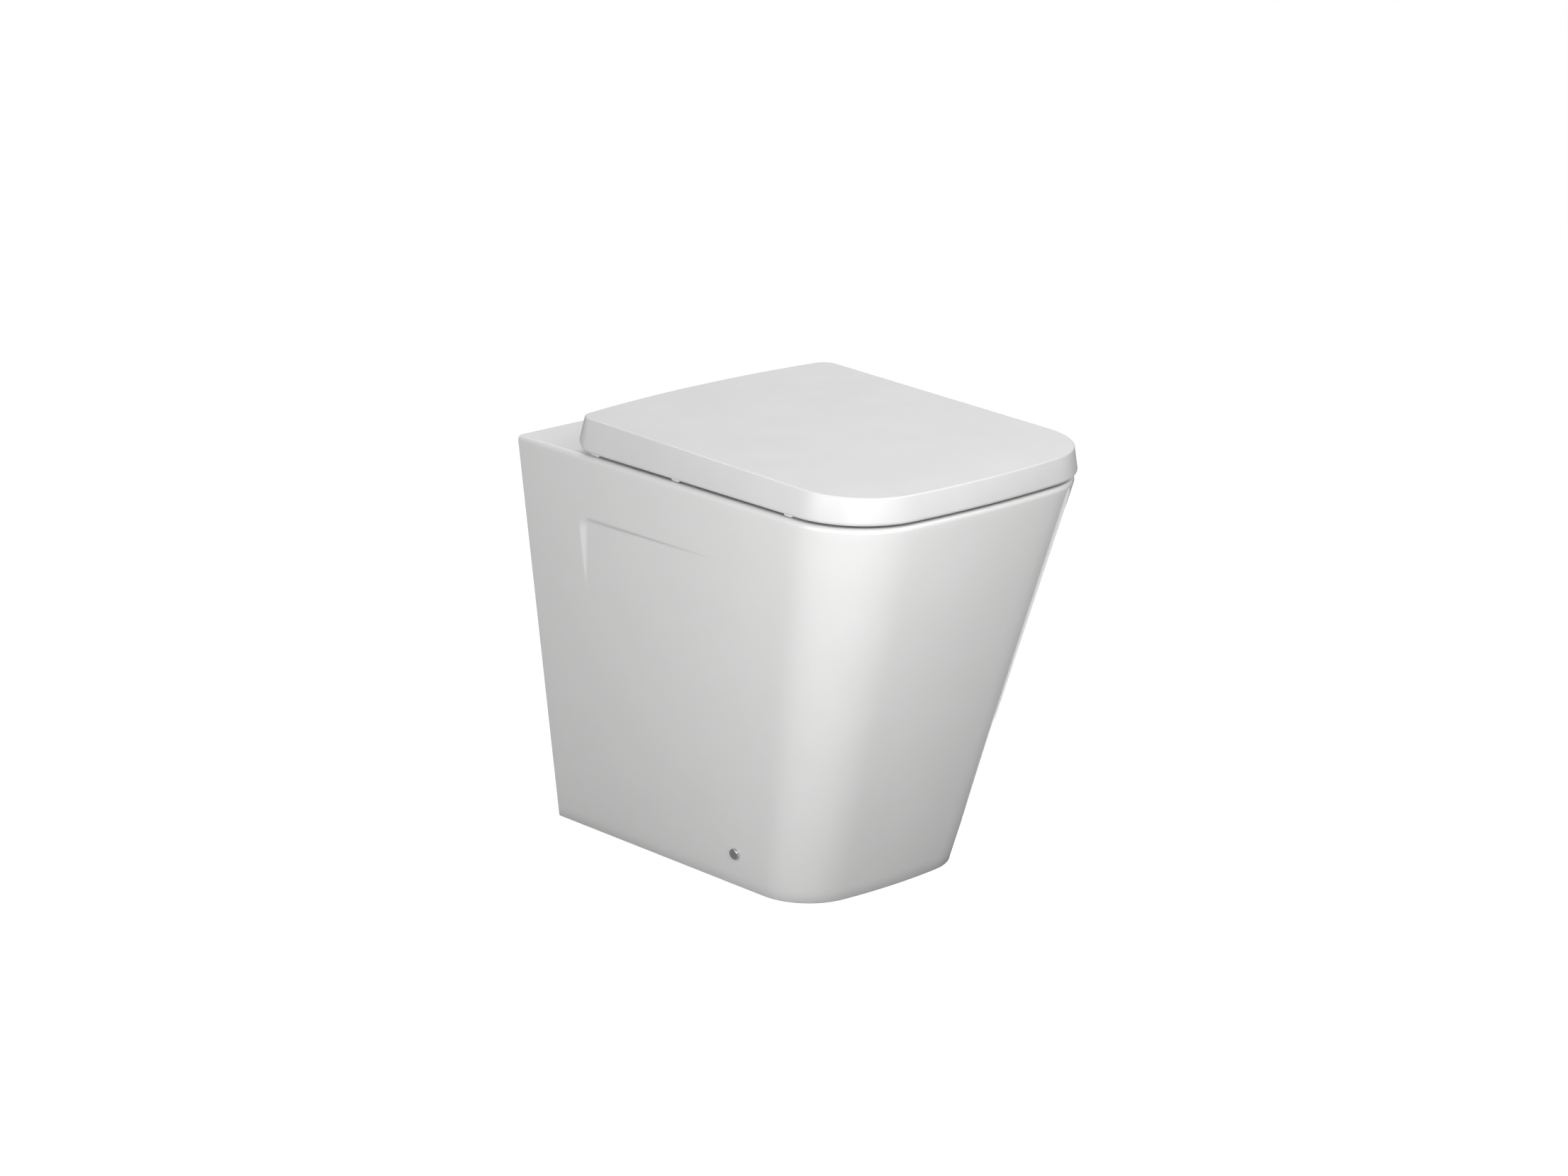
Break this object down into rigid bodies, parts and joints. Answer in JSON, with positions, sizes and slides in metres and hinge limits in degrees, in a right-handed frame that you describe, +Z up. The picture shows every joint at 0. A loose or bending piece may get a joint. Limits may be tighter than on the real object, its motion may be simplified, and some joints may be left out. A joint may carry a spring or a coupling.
{
  "type": "back to wall toilet",
  "caption": "Floor-standing toilet pan that backs onto a wall, sides tapering to a small foot, with a soft-square seat ring, a wrap-over lid on soft-close hinges, and hidden floor fixings.",
  "frame": {"origin": "On the floor, on the line where the wall meets the floor, at the pan's middle.", "axes": "+Z is up, +Y points into the wall, -Y is the way the pan projects and where a user sits facing, +X is across the pan. The wall is the plane y = 0."},
  "size_m": [0.35, 0.4935, 0.4577],
  "materials": {
    "glazed_china": "glossy white glaze",
    "seat_plastic": "smooth white thermoset, lightly polished",
    "hinge_metal": "satin stainless steel",
    "cap_chrome": "polished chrome",
    "fixing_steel": "zinc-plated steel",
    "bush_rubber": "matte black rubber",
    "buffer_soft": "soft translucent white",
    "bracket_plastic": "moulded black nylon",
    "damper_plastic": "dark grey nylon"
  },
  "bodies": {
    "pan_body": {"pan_skirt": "glazed_china", "pan_bowl": "glazed_china", "pan_trapway": "glazed_china", "pan_inlet": "glazed_china", "floor_brackets": "bracket_plastic", "side_screws": "fixing_steel", "side_screw_sleeves": "buffer_soft", "side_screw_caps": "cap_chrome", "deck_gaskets": "buffer_soft", "hinge_base_plates": "hinge_metal", "hinge_studs": "fixing_steel", "expansion_bushes": "bush_rubber", "clamp_washers": "fixing_steel", "clamp_nuts": "fixing_steel", "hinge_posts": "hinge_metal", "post_grub_screws": "fixing_steel", "hinge_pins": "fixing_steel"},
    "seat": {"seat_ring": "seat_plastic", "ring_hinge_arms": "hinge_metal", "ring_dampers": "damper_plastic", "ring_arm_screws": "fixing_steel", "seat_buffers": "buffer_soft"},
    "lid": {"lid": "seat_plastic", "lid_hinge_arms": "hinge_metal", "lid_dampers": "damper_plastic", "lid_arm_screws": "fixing_steel", "lid_buffers": "buffer_soft"}
  },
  "joints": [
    {"name": "seat_hinge", "type": "hinge", "parent": "pan_body", "child": "seat", "pos_m": [0, -0.08, 0.446], "axis": [-1, 0, 0], "range_deg": [0, 93]},
    {"name": "lid_hinge", "type": "hinge", "parent": "seat", "child": "lid", "pos_m": [0, -0.08, 0.446], "axis": [-1, 0, 0], "range_deg": [0, 96]}
  ]
}
